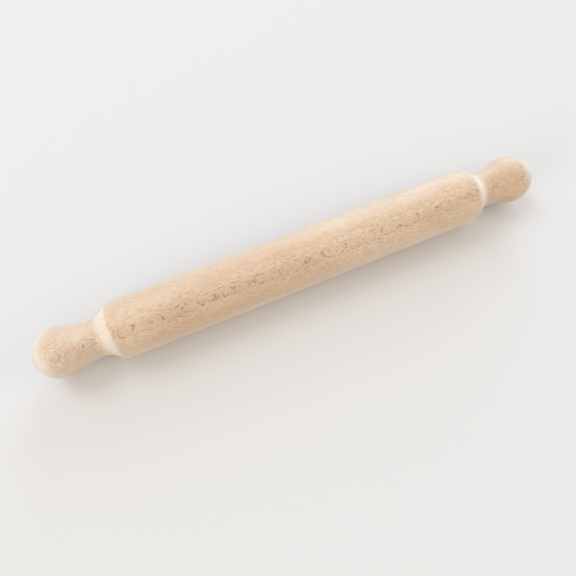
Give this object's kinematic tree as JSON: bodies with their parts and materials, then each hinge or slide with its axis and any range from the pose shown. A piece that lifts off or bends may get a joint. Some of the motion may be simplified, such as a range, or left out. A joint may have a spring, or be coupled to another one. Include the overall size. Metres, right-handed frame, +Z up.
{
  "type": "rolling pin",
  "caption": "Turned wooden rolling pin: a straight barrel whose ends curve in over a shoulder and a cove to a narrow neck and a ball-shaped grip, for rolling out dough and pastry.",
  "frame": {"origin": "on the turning axis, half-way between the tips of the two ball grips", "axes": "+X along the turning axis to one grip; +Z up as the pin lies on a table; the pin is the same turned about X or end for end"},
  "size_m": [0.3866, 0.041, 0.041],
  "materials": {
    "beech": "turned and sanded, unfinished"
  },
  "bodies": {
    "root": {"rolling_pin": "beech"}
  },
  "joints": []
}
